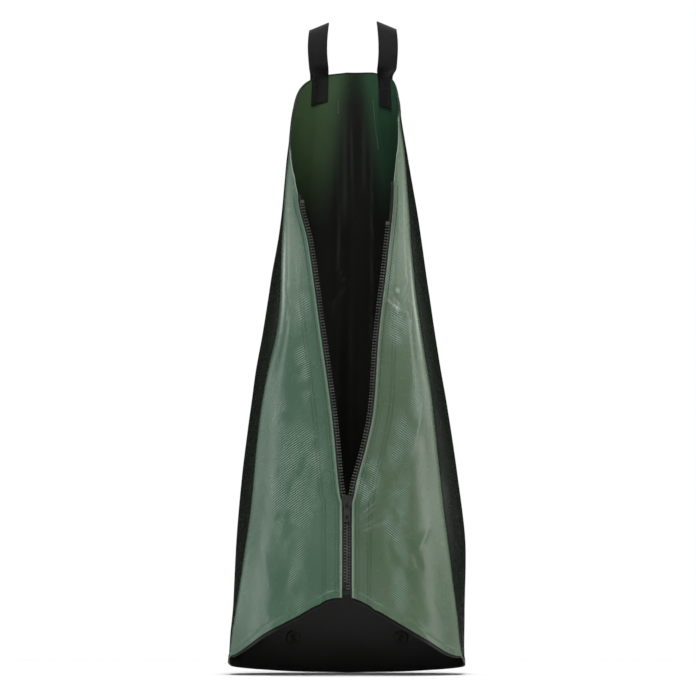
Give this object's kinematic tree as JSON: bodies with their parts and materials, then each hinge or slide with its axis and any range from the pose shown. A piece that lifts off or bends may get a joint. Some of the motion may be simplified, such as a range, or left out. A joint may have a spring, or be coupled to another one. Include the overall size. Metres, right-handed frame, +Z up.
{
  "type": "slow release tree watering bag",
  "caption": "Tall open-fronted tarpaulin watering bag that wraps round a tree trunk, with a front zip, a slider and webbing carrying loops.",
  "frame": {"origin": "middle of the standing bag's box, at the hem on the ground", "axes": "+X to the right as seen from the front, the zip faces -Y, +Z up"},
  "size_m": [0.3056, 0.2216, 0.8399],
  "materials": {
    "green_tarpaulin": "glossy coated scrim, diagonal weave showing through",
    "black_liner": "smooth coated sheet, soft gloss",
    "black_tape": "matt woven tape",
    "black_plastic": "moulded plastic, satin",
    "slider_metal": "black enamelled die casting",
    "black_webbing": "matt woven webbing"
  },
  "bodies": {
    "bag": {"outer_sheet": "green_tarpaulin", "inner_liner": "black_liner", "drip_outlet_left": "black_plastic", "drip_outlet_right": "black_plastic", "zipper_tape_left": "black_tape", "zipper_tape_right": "black_tape", "zipper_teeth_left": "black_plastic", "zipper_teeth_right": "black_plastic", "top_stop_left": "black_plastic", "top_stop_right": "black_plastic", "retainer_box": "black_plastic", "insertion_pin": "black_plastic", "handle_left_front_tab": "black_webbing", "handle_left_rear_tab": "black_webbing", "handle_right_front_tab": "black_webbing", "handle_right_rear_tab": "black_webbing"},
    "slider": {"slider_body": "slider_metal"},
    "pull": {"slider_pull": "slider_metal"},
    "left_loop": {"handle_left_loop": "black_webbing"},
    "right_loop": {"handle_right_loop": "black_webbing"}
  },
  "joints": [
    {"name": "zip_slide", "type": "slide", "parent": "bag", "child": "slider", "axis": [0, 0.0975, 0.9952], "range_m": [-0.094, 0], "deforming": ["zipper_teeth_left", "zipper_teeth_right"]},
    {"name": "pull_swing", "type": "hinge", "parent": "slider", "child": "pull", "pos_m": [0, -0.10091, 0.21749], "axis": [-1, 0, 0], "range_deg": [0, 165]},
    {"name": "left_loop_fold", "type": "hinge", "parent": "bag", "child": "left_loop", "pos_m": [-0.036, 0.04617, 0.77595], "axis": [1, 0, 0], "range_deg": [-80, 80]},
    {"name": "right_loop_fold", "type": "hinge", "parent": "bag", "child": "right_loop", "pos_m": [0.051, 0.036, 0.77251], "axis": [1, 0, 0], "range_deg": [-80, 80]}
  ]
}
